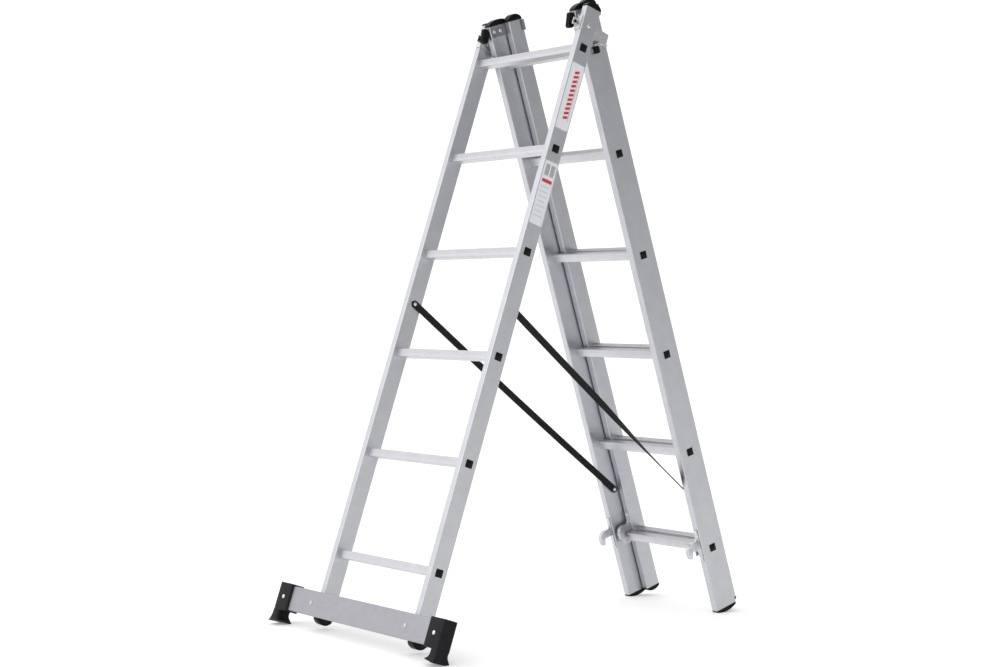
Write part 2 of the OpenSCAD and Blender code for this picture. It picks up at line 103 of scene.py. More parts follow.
class Nodes:
    """A material's node tree, with short calls that add and join nodes."""

    def __init__(self, name, color, metallic, roughness):
        self.material = bpy.data.materials.new(name)
        self.material.use_nodes = True
        self.tree = self.material.node_tree
        self.shader = self.tree.nodes["Principled BSDF"]
        self.shader.inputs["Base Color"].default_value = (*color, 1)
        self.shader.inputs["Metallic"].default_value = metallic
        self.shader.inputs["Roughness"].default_value = roughness
        self.coords = self.tree.nodes.new("ShaderNodeTexCoord")

    def add(self, kind, **values):
        node = self.tree.nodes.new("ShaderNode" + kind)
        for key, value in values.items():
            if key in node.inputs:
                node.inputs[key].default_value = value
            else:
                setattr(node, key, value)
        return node

    def join(self, output, socket):
        self.tree.links.new(output, socket)

    def place(self, lean, scale, coords="Object"):
        """Coordinates along a section that leans, stretched by scale."""
        unlean = self.add("Mapping", Rotation=(-lean, 0, 0))
        stretch = self.add("Mapping", Scale=scale)
        self.join(self.coords.outputs[coords], unlean.inputs["Vector"])
        self.join(unlean.outputs["Vector"], stretch.inputs["Vector"])
        return stretch.outputs["Vector"]

    def noise(self, vector, scale, detail=4.0):
        node = self.add("TexNoise", Scale=scale, Detail=detail)
        self.join(vector, node.inputs["Vector"])
        return node.outputs["Fac"]

    def ramp(self, value, low, high, start=0.3, end=0.7):
        node = self.add("MapRange")
        node.inputs["From Min"].default_value = start
        node.inputs["From Max"].default_value = end
        node.inputs["To Min"].default_value = low
        node.inputs["To Max"].default_value = high
        self.join(value, node.inputs["Value"])
        return node.outputs["Result"]

    def tint(self, value, dark, light):
        node = self.add("Mix", data_type="RGBA")
        node.inputs[6].default_value = (*dark, 1)
        node.inputs[7].default_value = (*light, 1)
        self.join(value, node.inputs["Factor"])
        self.join(node.outputs[2], self.shader.inputs["Base Color"])

    def rough(self, value):
        self.join(value, self.shader.inputs["Roughness"])

    def bump(self, value, strength, distance):
        node = self.add("Bump", Strength=strength, Distance=distance)
        self.join(value, node.inputs["Height"])
        self.join(node.outputs["Normal"], self.shader.inputs["Normal"])


def shade(color, factor):
    return tuple(channel * factor for channel in color)


def extruded_aluminium(name, lean, along, color, roughness):
    """Mill-finish aluminium: die lines along the extrusion, faint handling marks across it."""
    nodes = Nodes(name, color, 1.0, roughness)
    lines_scale = (9, 1600, 1600) if along == "X" else (1600, 1600, 9)
    lines = nodes.noise(nodes.place(lean, lines_scale), 1.0, 3)
    clouds = nodes.noise(nodes.place(lean, (1, 1, 1)), 26.0, 5)
    scuffs = nodes.noise(nodes.place(lean, (60, 240, 240)), 1.0, 6)
    mixed = nodes.add("Math", operation="MULTIPLY_ADD")
    mixed.inputs[1].default_value = 0.35
    nodes.join(lines, mixed.inputs[0])
    nodes.join(clouds, mixed.inputs[2])
    nodes.tint(nodes.ramp(mixed.outputs[0], 0, 1, 0.45, 0.9), shade(color, 0.93), color)
    nodes.rough(nodes.ramp(scuffs, roughness - 0.05, roughness + 0.07))
    nodes.bump(lines, 0.25, 0.00006)
    return nodes.material


def cast_aluminium(name, color, roughness):
    """Cast or pressed metal with a fine skin."""
    nodes = Nodes(name, color, 1.0, roughness)
    skin = nodes.noise(nodes.place(0, (1, 1, 1)), 900.0, 4)
    clouds = nodes.noise(nodes.place(0, (1, 1, 1)), 70.0, 3)
    nodes.tint(nodes.ramp(clouds, 0, 1), shade(color, 0.86), color)
    nodes.rough(nodes.ramp(clouds, roughness + 0.08, roughness - 0.05))
    nodes.bump(skin, 0.35, 0.00012)
    return nodes.material


def zinc_steel(name, color, roughness):
    """Zinc plating: a faint crystal pattern with cooler and warmer patches."""
    nodes = Nodes(name, color, 1.0, roughness)
    crystals = nodes.add("TexVoronoi", Scale=160.0)
    nodes.join(nodes.place(0, (1, 1, 1)), crystals.inputs["Vector"])
    warm = (color[0], color[1] * 0.99, color[2] * 0.95)
    nodes.tint(nodes.ramp(crystals.outputs["Distance"], 0, 1, 0.0, 0.8), shade(warm, 0.9), color)
    nodes.rough(nodes.ramp(crystals.outputs["Distance"], roughness, roughness + 0.1, 0.0, 0.8))
    grain = nodes.noise(nodes.place(0, (1, 1, 1)), 1500.0, 2)
    nodes.bump(grain, 0.15, 0.00005)
    return nodes.material


def moulded_plastic(name, color, roughness, grain_size):
    """Black moulding: spark-eroded grain and slightly polished high spots."""
    nodes = Nodes(name, color, 0.0, roughness)
    grain = nodes.noise(nodes.place(0, (1, 1, 1)), grain_size, 4)
    polish = nodes.noise(nodes.place(0, (1, 1, 1)), 45.0, 3)
    nodes.shader.inputs["Specular IOR Level"].default_value = 0.12
    nodes.tint(nodes.ramp(polish, 0, 1), shade(color, 0.75), shade(color, 1.25))
    nodes.rough(nodes.ramp(polish, roughness - 0.07, roughness + 0.08))
    nodes.bump(grain, 0.3, 0.00015)
    return nodes.material


def webbing(name, color):
    """Woven polyester: ribs across the strap with diagonal twill, in strap coordinates."""
    nodes = Nodes(name, color, 0.0, 0.75)
    nodes.shader.inputs["Sheen Weight"].default_value = 0.06
    nodes.shader.inputs["Specular IOR Level"].default_value = 0.2
    turns = {}
    for word, angle in (("twill", math.radians(58)), ("cross", math.radians(-58))):
        turn = nodes.add("Mapping", Rotation=(0, 0, angle))
        nodes.join(nodes.coords.outputs["UV"], turn.inputs["Vector"])
        wave = nodes.add("TexWave", Scale=170.0, Distortion=0.6)
        nodes.join(turn.outputs["Vector"], wave.inputs["Vector"])
        turns[word] = wave.outputs["Fac"]
    weave = nodes.add("Math", operation="MAXIMUM")
    nodes.join(turns["twill"], weave.inputs[0])
    nodes.join(turns["cross"], weave.inputs[1])
    nodes.tint(nodes.ramp(weave.outputs[0], 0, 1, 0.2, 1.0), shade(color, 0.45), shade(color, 1.5))
    nodes.bump(weave.outputs[0], 0.8, 0.0004)
    return nodes.material


def printed_film(name, color, roughness):
    """Sticker film: very slightly wavy, a little uneven in colour."""
    nodes = Nodes(name, color, 0.0, roughness)
    wave = nodes.noise(nodes.place(0, (1, 1, 1)), 60.0, 2)
    nodes.tint(nodes.ramp(wave, 0, 1), shade(color, 0.95), color)
    nodes.rough(nodes.ramp(wave, roughness - 0.04, roughness + 0.06))
    nodes.bump(wave, 0.1, 0.0001)
    return nodes.material


STILE_COLOR = (0.60, 0.61, 0.64)
RUNG_COLOR = (0.62, 0.62, 0.645)
stile_front = extruded_aluminium("aluminium_front_stiles", -FRONT_LEAN, "Z", STILE_COLOR, 0.4)
stile_rear = extruded_aluminium("aluminium_rear_stiles", REAR_LEAN, "Z", STILE_COLOR, 0.4)
rung_front = extruded_aluminium("aluminium_front_rungs", -FRONT_LEAN, "X", RUNG_COLOR, 0.36)
rung_rear = extruded_aluminium("aluminium_rear_rungs", REAR_LEAN, "X", RUNG_COLOR, 0.36)
bar_aluminium = extruded_aluminium("aluminium_bar", -FRONT_LEAN, "X", (0.40, 0.40, 0.43), 0.46)
cast = cast_aluminium("cast_hooks", (0.66, 0.665, 0.69), 0.38)
plate_steel = zinc_steel("zinc_plates", (0.68, 0.685, 0.70), 0.34)
bolt_steel = zinc_steel("zinc_bolts", (0.60, 0.605, 0.62), 0.36)
rivet_metal = cast_aluminium("rivet_heads", (0.78, 0.785, 0.80), 0.3)
black_plastic = moulded_plastic("black_mouldings", (0.006, 0.006, 0.007), 0.36, 700.0)
foot_rubber = moulded_plastic("foot_rubber", (0.012, 0.012, 0.014), 0.5, 420.0)
guide_paint = moulded_plastic("guide_paint", (0.2, 0.2, 0.215), 0.42, 1200.0)
strap_weave = webbing("strap_webbing", (0.008, 0.008, 0.009))
eyelet_metal = zinc_steel("eyelets", (0.03, 0.03, 0.035), 0.35)
film_white = printed_film("label_film", (0.72, 0.74, 0.76), 0.35)
film_red = printed_film("label_red", (0.55, 0.035, 0.04), 0.4)
film_grey = printed_film("label_grey", (0.36, 0.37, 0.39), 0.4)

NODE_MATERIALS = {
    "front_stile": stile_front,
    "rear_stile": stile_rear,
    "third_stile": stile_rear,
    "front_rung_": rung_front,
    "rear_rung_": rung_rear,
    "third_rung_": rung_rear,
    "stabiliser_bar": bar_aluminium,
    "stabiliser_bolts": bolt_steel,
    "foot_left": foot_rubber,
    "foot_right": foot_rubber,
    "hinge_plates": plate_steel,
    "third_catch": bolt_steel,
    "fold_pivot_pins": bolt_steel,
    "fold_pivots": black_plastic,
    "lock_lever": black_plastic,
    "upper_guides": guide_paint,
}
for name, node in frame["nodes"].items():
    found = [NODE_MATERIALS[start] for start in NODE_MATERIALS if name.startswith(start)]
    plain = rivet_metal if "rivet" in name else black_plastic
    node.data.materials.clear()
    node.data.materials.append(found[0] if found else plain)

# ---- building pieces ---------------------------------------------------------


def finish_piece(name, mesh, place, body, material, replaced=(), sharp=38):
    """Turns a bmesh in a section's frame into a piece that rides on a body."""
    mesh.transform(place)
    bmesh.ops.recalc_face_normals(mesh, faces=mesh.faces)
    data = bpy.data.meshes.new(name)
    mesh.to_mesh(data)
    mesh.free()
    data.materials.append(material)
    data.shade_smooth()
    data.set_sharp_from_angle(angle=math.radians(sharp))
    piece = bpy.data.objects.new(name, data)
    bpy.context.scene.collection.objects.link(piece)
    if replaced:
        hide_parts(*replaced)
    if body:
        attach(piece, body)
    return piece


def arc(centre, radius, start, end, steps):
    """Points on an arc in a (y, z) plane, from start to end in degrees."""
    angles = [math.radians(start + (end - start) * i / steps) for i in range(steps + 1)]
    return [(centre[0] + radius * math.cos(a), centre[1] + radius * math.sin(a)) for a in angles]


def rounded(corners, radius, steps=5):
    """Outline through the corners (y, z), each rounded; radius is one number or one per corner."""
    radii = radius if isinstance(radius, (list, tuple)) else [radius] * len(corners)
    points = []
    for i, corner in enumerate(corners):
        here = Vector(corner)
        before = Vector(corners[i - 1]) - here
        after = Vector(corners[(i + 1) % len(corners)]) - here
        half = before.angle(after) / 2
        reach = min(radii[i] / math.tan(half), 0.48 * before.length, 0.48 * after.length)
        if reach < 0.02:
            points.append(tuple(here))
            continue
        true_radius = reach * math.tan(half)
        middle = (before.normalized() + after.normalized()).normalized()
        centre = here + middle * (true_radius / math.sin(half))
        first = here + before.normalized() * reach - centre
        last = here + after.normalized() * reach - centre
        start = math.atan2(first.y, first.x)
        turn = (math.atan2(last.y, last.x) - start + math.pi) % (2 * math.pi) - math.pi
        points += arc(centre, true_radius, math.degrees(start), math.degrees(start + turn), steps)
    return points


def add_slab(mesh, outline, x0, x1, bevel, segments=3):
    """Adds a plate of that outline in Y and Z, from x0 to x1, with rounded rims."""
    low, high = min(x0, x1), max(x0, x1)
    loops = [[mesh.verts.new((x, y, z)) for y, z in outline] for x in (low, high)]
    faces = [mesh.faces.new(loop) for loop in loops]
    rim = [edge for face in faces for edge in face.edges]
    count = len(outline)
    for i in range(count):
        j = (i + 1) % count
        mesh.faces.new((loops[0][i], loops[0][j], loops[1][j], loops[1][i]))
    bmesh.ops.bevel(mesh, geom=rim, offset=bevel, segments=segments, affect="EDGES", profile=0.5)


def turned(mesh, profile, place, steps=24):
    """Adds a solid of revolution about Z: profile is (radius, height) from axis to axis."""
    rings = []
    for radius, height in profile:
        if radius < 0.001:
            rings.append([mesh.verts.new(place @ Vector((0, 0, height)))])
            continue
        ring = []
        for i in range(steps):
            angle = 2 * math.pi * i / steps
            spot = Vector((radius * math.cos(angle), radius * math.sin(angle), height))
            ring.append(mesh.verts.new(place @ spot))
        rings.append(ring)
    for low, high in zip(rings, rings[1:]):
        for i in range(steps):
            j = (i + 1) % steps
            corners = [low[i % len(low)], low[j % len(low)], high[j % len(high)], high[i % len(high)]]
            unique = list(dict.fromkeys(corners))
            if len(unique) > 2:
                mesh.faces.new(unique)


def pointing(spot, direction):
    """Matrix that stands a turned solid at spot, with its Z along direction."""
    return Matrix.Translation(spot) @ Vector(direction).to_track_quat("Z", "Y").to_matrix().to_4x4()


def rivet_head(mesh, spot, direction, radius, height):
    """Domed head on a flat face, with a pin mark in its middle."""
    angles = [math.radians(90 * i / 6) for i in range(7)]
    crown = [(radius * math.cos(angle), height * math.sin(angle)) for angle in angles]
    dimple = radius * 0.28
    profile = [(0, 0), (radius, 0)]
    profile += [point for point in crown if point[0] > dimple * 1.2]
    profile += [(dimple, height * 0.94), (dimple * 0.8, height * 0.7), (0, height * 0.66)]
    turned(mesh, profile, pointing(spot, direction))


# ---- caps ----------------------------------------------------------------------


CAP_SKIRT = 4
CAP_FLANGE = 2.4


def dome_outline(depth, height):
    """Arch of a cap in (y, z): flat on the stile's end, a short straight skirt, round above."""
    rise = height - CAP_SKIRT
    radius = (depth * depth / 4 + rise * rise) / (2 * rise)
    reach = math.degrees(math.asin(depth / 2 / radius))
    return [(-depth / 2, 0), (depth / 2, 0)] + arc((0, height - radius), radius, 90 - reach, 90 + reach, 28)


def stile_caps(node, stile, place, body, up):
    """Domed caps of a section's two stiles, with a flange that sits on the stile's end."""
    low, high = local_box(node, place)
    stile_low, stile_high = local_box(stile, place)
    end = stile_high.z if up > 0 else stile_low.z
    height = high.z - end if up > 0 else end - low.z
    depth = high.y - low.y
    middle = (stile_low.x + stile_high.x) / 2
    half = (high.x - middle) if middle > 0 else (middle - low.x)
    mesh = bmesh.new()
    for side in SIDES:
        x = side * abs(middle)
        outline = [(y, end + up * z) for y, z in dome_outline(depth - 0.6, height)]
        add_slab(mesh, outline, x - half + 0.3, x + half - 0.3, 2.6, 4)
        edge = depth / 2
        flange = rounded([(-edge, 0), (edge, 0), (edge, CAP_FLANGE), (-edge, CAP_FLANGE)], 0.8, 3)
        add_slab(mesh, [(y, end + up * z) for y, z in flange], x - half, x + half, 0.5, 2)
    finish_piece("caps_" + node, mesh, place, body, black_plastic, [node], 50)


for section, place in (("front", FRONT), ("rear", REAR), ("third", THIRD)):
    body = section + "_section"
    stile = section + "_stile_right"
    stile_caps(section + "_top_caps", stile, place, body, 1)
    stile_caps(section + "_end_caps", stile, place, body, -1)

# ---- rung plugs -------------------------------------------------------------------

PLUG_S = RUNG_S - 1.5
PLUG_OUT = 1.2
PLUG_IN = 4
PLUG_RIM = 3


def rung_plugs(section, place, numbers):
    """Square plugs in the rungs' ends: a flat rim, a raised middle and a small boss on it."""
    face = local_box(section + "_stile_right", place)[1].x
    mesh = bmesh.new()
    for number in numbers:
        z = -RUNG_PITCH * (RUNG_COUNT - number)
        for side in SIDES:
            for size, depth in ((PLUG_S, PLUG_OUT), (PLUG_S - 2 * PLUG_RIM, PLUG_OUT + 0.5)):
                half = size / 2
                corners = [(-half, z - half), (half, z - half), (half, z + half), (-half, z + half)]
                ends = (side * (face - PLUG_IN), side * (face + depth))
                add_slab(mesh, rounded(corners, 1.6, 4), *ends, 0.45, 2)
            rivet_head(mesh, (side * (face + PLUG_OUT + 0.4), 0, z), (side, 0, 0), 3.2, 0.7)
    name = section + "_rung_plugs"
    body = section + "_section"
    finish_piece("plugs_" + section, mesh, place, body, black_plastic, [name])


rung_plugs("front", FRONT, range(1, RUNG_COUNT + 1))
rung_plugs("rear", REAR, range(1, RUNG_COUNT))
rung_plugs("third", THIRD, range(1, RUNG_COUNT + 1))

# ---- feet --------------------------------------------------------------------------

# Sides in X, front and back in Y and the lowest point of the sole in Z, before the floor cuts it.
bar_low, bar_high = local_box("stabiliser_bar", FRONT)
SLEEVE_WALL = 4
FOOT_INNER = 326
FOOT_OUTER = 392
LEG_INNER = 361
FOOT_WALL = 6
FOOT_FRONT = bar_low.y - FOOT_WALL
FOOT_BACK = -17
SOLE = -1615
SLEEVE_LOW = bar_low.z - SLEEVE_WALL
FOOT_STEPS = 16


def foot_ring(x0, x1, y0, y1, radii):
    return rounded([(x0, y0), (x1, y0), (x1, y1), (x0, y1)], radii, 6)


def sole_z(x, y):
    """Height of the sole: it rises at the inner side of the toe and at the heel."""
    toe = min(max((-22 - y) / 36, 0), 1)
    heel = min(max((y + 24) / 19, 0), 1)
    return SOLE + 7.5 * toe * max((FOOT_OUTER - 4 - x) / 38, 0) ** 1.2 + 3.6 * heel ** 1.6


def sleeve_rings():
    """Rings of the sleeve from its rounded top down to the underside round the leg.

    Each is worked out from its drop below the top, its inset and its corners' radius.
    """
    top = bar_high.z + SLEEVE_WALL
    height = top - SLEEVE_LOW
    rounded_top = [(0, 3.2, 3), (0.9, 1.2, 5), (3.2, 0, 7)]
    wall_and_rim = [(height * 0.5, 0, 7), (height - 3, 0, 7), (height, 1.4, 6)]
    rings = []
    for drop, inset, radius in rounded_top + wall_and_rim:
        box = (FOOT_INNER + inset, FOOT_OUTER - inset / 2, FOOT_FRONT + inset / 2, FOOT_BACK - inset / 2)
        rings.append([(x, y, top - drop) for x, y in foot_ring(*box, radius)])
    return rings


def leg_rings():
    """Rings of the leg: straight under the sleeve, then spreading to toe and heel."""
    rings = []
    for i in range(FOOT_STEPS + 1):
        share = i / FOOT_STEPS
        box = (
            LEG_INNER - 3 * share - 9.5 * share ** 4,
            FOOT_OUTER + 2 * share ** 3,
            FOOT_FRONT - 6.5 * share ** 3.2,
            FOOT_BACK - 2 * math.sin(math.pi * min(share * 1.6, 1)) + 12.5 * share ** 2.6,
        )
        ring = foot_ring(*box, [6 + 5 * share, 6 - 2 * share, 7, 7])
        start = SLEEVE_LOW + 1 if i == 0 else SLEEVE_LOW
        rings.append([(x, y, start + (sole_z(x, y) - start) * share) for x, y in ring])
    return rings


def foot(side):
    """Rubber foot: a sleeve over the bar's end, then a leg that flares out to the floor."""
    mesh = bmesh.new()
    outlines = sleeve_rings() + leg_rings()
    rings = [[mesh.verts.new((side * x, y, z)) for x, y, z in ring] for ring in outlines]
    for upper, lower in zip(rings, rings[1:]):
        for i in range(len(upper)):
            j = (i + 1) % len(upper)
            mesh.faces.new((upper[i], upper[j], lower[j], lower[i]))
    mesh.faces.new(rings[0])
    bmesh.ops.triangulate(mesh, faces=[mesh.faces.new(rings[-1])])
    mesh.transform(FRONT)
    everything = mesh.verts[:] + mesh.edges[:] + mesh.faces[:]
    cut = bmesh.ops.bisect_plane(
        mesh, geom=everything, plane_co=(0, 0, 0), plane_no=(0, 0, -1), clear_outer=True)
    rim = [item for item in cut["geom_cut"] if isinstance(item, bmesh.types.BMEdge)]
    bmesh.ops.contextual_create(mesh, geom=rim)
    word = "left" if side < 0 else "right"
    name = "foot_" + word
    finish_piece("bell_" + name, mesh, Matrix(), "front_section", foot_rubber, [name], 50)


for side in SIDES:
    foot(side)

# ---- lock levers ---------------------------------------------------------------------


LEVER_W = 15
LEVER_RIBS = 3
LEVER_RIB_W = 2.6
LEVER_RIB_PITCH = 4.6


def lock_lever(side):
    """Moulded stop: a block with ribs down its front, on a round pin."""
    word = "left" if side < 0 else "right"
    node = "lock_lever_" + word
    low, high = local_box(node, FRONT)
    inner = min(abs(low.x), abs(high.x))
    outer = inner + LEVER_W
    front_edge = [(-33, 87.5), (-42, 88.3), (-44.2, 85), (-36.9, 50.3)]
    rear_edge = [(-33, 48.2), (-24, 50.7), (-20.7, 60), (-25, 75)]
    block = rounded(front_edge + rear_edge, [2, 2, 2, 2, 2, 3, 4, 4], 4)
    mesh = bmesh.new()
    add_slab(mesh, block, side * inner, side * outer, 1.0, 3)
    for i in range(LEVER_RIBS):
        x = inner + 1.5 + i * LEVER_RIB_PITCH
        rib = rounded([(-38.6, 53.5), (-34, 53.5), (-40, 82.5), (-44.9, 82.5)], 0.8, 3)
        add_slab(mesh, rib, side * x, side * (x + LEVER_RIB_W), 0.6, 2)
    spot = FRONT.inverted() @ Vector(joints[node + "_pivot"]["pos_m"])
    collar = [(0, -2), (4.2, -2), (4.2, 12.4), (3, 12.6)]
    head = [(3, 16.4), (4.2, 16.5), (4.2, 17.9), (3.5, 18.4), (0, 18.4)]
    turned(mesh, collar + head, pointing((side * outer, spot.y, spot.z), (side, 0, 0)))
    finish_piece("moulded_" + node, mesh, FRONT, node, black_plastic, [node], 45)


for side in SIDES:
    lock_lever(side)

# ---- fold pivots ------------------------------------------------------------------------

PIVOT_PLUG = 19.5
PIVOT_BOSS = 14.5


def fold_pivot_plugs():
    """Bushes of the fold hinge, each under a square plug with rounded corners and a raised middle."""
    mesh = bmesh.new()
    face = local_box("rear_stile_right", REAR)[1].x
    for side in SIDES:
        root = pointing((side * face, 0, 0), (side, 0, 0))
        turned(mesh, [(0, -14), (8.9, -14), (8.9, 0), (9, 0), (9, 0.5), (6, 0.5), (6, 5), (0, 5)], root)
        for size, start, end in ((PIVOT_PLUG, 4.1, 8.4), (PIVOT_BOSS, 8, 9)):
            half = size / 2
            corners = [(-half, -half), (half, -half), (half, half), (-half, half)]
            ends = (side * (face + start), side * (face + end))
            add_slab(mesh, rounded(corners, 4.2, 5), *ends, 0.7, 3)
    node = ["fold_pivots"]
    finish_piece("plugs_fold", mesh, REAR, "rear_section", black_plastic, node, 40)


fold_pivot_plugs()

# ---- hooks -----------------------------------------------------------------------------

hook_seat = -RUNG_PITCH * (RUNG_COUNT - 1) + RUNG_S / 2 + RIB_H
HOOK_RIVETS = (-30, 45)
HOOK_W = 13
CLAW_LIFT = 1.0
WEB_T = 4.4


def hook_claw(face):
    """Side outline of the claw: a curved arm over the rung and a tapered tip in front of it."""
    seat = hook_seat + CLAW_LIFT
    outer = arc((face - 24, seat - 0.5), 22, 90, 180, 12)
    tip_front = [(face - 45.2, seat - 14), (face - 43.5, seat - 17.6)]
    tip = tip_front + [(face - 36.5, seat - 17.8), (face - 34, seat - 14)]
    inner = [(face - 33.5, seat - 5)] + arc((face - 27, seat - 5.5), 5.5, 170, 95, 5)
    back = [(face - 1, seat), (face - 1, seat + 17), (face - 6, seat + 19.5)]
    return [point for run in (outer, back, inner, tip) for point in reversed(run)]


def hooks(section, stile_x, face):
    """A section's two hooks: back plate with rounded ends, curved claw and stiffening rib."""
    mesh = bmesh.new()
    heads = bmesh.new()
    for side in SIDES:
        x = side * stile_x
        claw = hook_claw(face)
        add_slab(mesh, claw, x - HOOK_W / 2, x + HOOK_W / 2, 0.6, 3)
        z0, z1 = hook_seat - 40, hook_seat + 53
        plate = rounded([(face - 3, z0), (face, z0), (face, z1), (face - 3, z1)], 1.0, 3)
        add_slab(mesh, plate, x - HOOK_W / 2, x + HOOK_W / 2, 0.9, 3)
        web_low = hook_seat + 16
        web = rounded([(face - 2, web_low), (face - 13, web_low), (face - 2, web_low + 18)], 1.2, 3)
        add_slab(mesh, web, x - WEB_T / 2, x + WEB_T / 2, 0.9, 3)
        for z in HOOK_RIVETS:
            rivet_head(heads, (x, face - 3, hook_seat + z), (0, -1, 0), 5.2, 2.4)
    name = section + "_hooks"
    body = section + "_section"
    finish_piece("claws_" + section, mesh, REAR, body, cast, [name], 40)
    heads_node = section + "_hook_rivets"
    finish_piece("heads_" + heads_node, heads, REAR, body, rivet_metal, [heads_node])


rear_low, rear_high = local_box("rear_stile_right", REAR)
third_low, third_high = local_box("third_stile_right", REAR)
hooks("rear", (rear_low.x + rear_high.x) / 2, rear_low.y)
hooks("third", (third_low.x + third_high.x) / 2, third_low.y)

# ---- rivets and bolts ---------------------------------------------------------------------


def heads(node, place, body, spots, radius, height, material=rivet_metal, slot="rivet_aluminium"):
    """Domed heads at spots, each (place of the face, direction), in place of a CAD node."""
    mesh = bmesh.new()
    for spot, direction in spots:
        rivet_head(mesh, spot, direction, radius, height)
    finish_piece("heads_" + node, mesh, place, body, material, [node])


front_low, front_high = local_box("front_stile_right", FRONT)
PLATE_RIVET = (-1, 60)
PLATE_T = 3
plate_spots = []
for side in SIDES:
    plate_spots.append(((side * front_high.x, *PLATE_RIVET), (side, 0, 0)))
    plate_spots.append(((side * (front_low.x - PLATE_T), *PLATE_RIVET), (-side, 0, 0)))
heads("hinge_plate_rivets", FRONT, "front_section", plate_spots, 5.0, 2.0)

GUIDE_T = 1.8
GUIDE_RIVETS = ((-24, 97), (-3, 97))
guide_spots = []
for side in SIDES:
    for y, z in GUIDE_RIVETS:
        guide_spots.append(((side * rear_high.x, y, z), (side, 0, 0)))
        guide_spots.append(((side * (rear_low.x - GUIDE_T), y, z), (-side, 0, 0)))
heads("guide_rivets", REAR, "rear_section", guide_spots, 5.0, 2.0)

FOOT_RIVET_X = 358
bar_middle = (bar_low.z + bar_high.z) / 2
foot_spots = [((side * FOOT_RIVET_X, FOOT_FRONT + 0.2, bar_middle), (0, -1, 0)) for side in SIDES]
heads("foot_rivets", FRONT, "front_section", foot_spots, 5.6, 2.4)


def stabiliser_bolts():
    """Bolts through the bar and the stiles: a domed head in front, washer, nut and end behind."""
    x = (front_low.x + front_high.x) / 2
    mesh = bmesh.new()
    for side in SIDES:
        rivet_head(mesh, (side * x, bar_low.y, bar_middle), (0, -1, 0), 6.6, 3.6)
        behind = pointing((side * x, front_high.y, bar_middle), (0, 1, 0))
        turned(mesh, [(0, 0), (9, 0), (9, 1.2), (0, 1.2)], behind)
        turned(mesh, [(0, 1.2), (7.4, 1.2), (7.4, 6.6), (6.6, 7.6), (0, 7.6)], behind, 6)
        turned(mesh, [(0, 7), (4, 7), (4, 11.4), (3.4, 12), (0, 12)], behind)
    node = ["stabiliser_bolts"]
    finish_piece("bolts_stabiliser", mesh, FRONT, "front_section", bolt_steel, node)


stabiliser_bolts()

# ---- straps ----------------------------------------------------------------------------------

STRAP_W = 20
STRAP_T = 1.6
STRAP_FRONT = (front_low.x - 2, 0, -700)
STRAP_REAR = (rear_low.x - 4.5, 0, -1260)
STRAP_ENDS = (("front", FRONT, STRAP_FRONT), ("rear", REAR, STRAP_REAR))
EYELET_T = 3.2
TWIST = math.radians(59)
SAG = 4


def smooth(low, high, value):
    share = min(max((value - low) / (high - low), 0), 1)
    return share * share * (3 - 2 * share)


def twist_at(share):
    """Turn of the right strap about its own length: it grows on the way and ends at the rear rivet."""
    return TWIST * smooth(0.4, 0.84, share) * (1 - smooth(0.94, 0.98, share))


def strap_rows(side):
    """Rows along a strap: share of the way, centre, and the direction across its width."""
    start = FRONT @ Vector((side * STRAP_FRONT[0], *STRAP_FRONT[1:]))
    end = REAR @ Vector((side * STRAP_REAR[0], *STRAP_REAR[1:]))
    run = end - start
    along = run.normalized()
    across = along.cross(Vector((1, 0, 0))).normalized()
    out = across.cross(along)
    reach = STRAP_W / 2 * MM / run.length
    rows = []
    for i in range(201):
        t = -reach + (1 + 2 * reach) * i / 200
        turn = twist_at(t) if side > 0 else 0.0
        inboard = Vector((-side, 0, 0)) * abs(math.sin(turn)) * STRAP_W / 2 * MM
        sag = Vector((0, 0, -SAG * MM)) * 4 * max(t, 0) * max(1 - t, 0)
        width = across * math.cos(turn) + out * math.sin(turn)
        rows.append((t, start + run * t + inboard + sag, width, along))
    return rows, start, end, run.length


def strap(side):
    """Flat webbing with round ends, its edges a little thinner than its middle."""
    word = "left" if side < 0 else "right"
    rows, start, end, length = strap_rows(side)
    mesh = bmesh.new()
    layer = mesh.loops.layers.uv.new("along")
    section = [(-1, 0.0), (-0.96, 0.34), (-0.8, 0.5), (0.8, 0.5), (0.96, 0.34), (1, 0.0),
               (0.96, -0.34), (0.8, -0.5), (-0.8, -0.5), (-0.96, -0.34)]
    loops = []
    for t, centre, width, along in rows:
        over = max(-t, t - 1, 0) * length / (STRAP_W / 2 * MM)
        half = STRAP_W / 2 * MM * math.sqrt(max(1 - over * over, 0.02))
        normal = width.cross(along)
        thick = normal * STRAP_T * MM
        loops.append([mesh.verts.new(centre + width * half * u + thick * v) for u, v in section])
    count = len(section)
    for row, (first, second) in enumerate(zip(loops, loops[1:])):
        for i in range(count):
            j = (i + 1) % count
            face = mesh.faces.new((first[i], second[i], second[j], first[j]))
            spots = ((row, i), (row + 1, i), (row + 1, j), (row, j))
            for loop, (step, corner) in zip(face.loops, spots):
                u = section[corner][0] * STRAP_W / 2 * MM
                loop[layer].uv = (rows[step][0] * length, u)
    mesh.faces.new(loops[0])
    mesh.faces.new(loops[-1])
    name = "strap_" + word
    piece = finish_piece("webbing_" + name, mesh, Matrix(), None, strap_weave, [name], 60)
    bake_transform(piece)


def strap_ends(side):
    """Eyelet at each end of a strap: a disc with a rounded rim, under the rivet's head."""
    half = EYELET_T / 2
    rim = [(0, -half), (3.4, -half), (7.8, -half), (9.0, -0.9), (9.2, 0)]
    rim += [(9.0, 0.9), (7.8, half), (3.4, half), (0, half)]
    word = "left" if side < 0 else "right"
    for end, place, spot in STRAP_ENDS:
        mesh = bmesh.new()
        centre = (side * spot[0], spot[1], spot[2])
        turned(mesh, rim, pointing(centre, (-side, 0, 0)))
        name = "eyelet_" + end + "_" + word
        finish_piece(name, mesh, place, end + "_section", eyelet_metal)


for side in SIDES:
    strap(side)
    strap_ends(side)

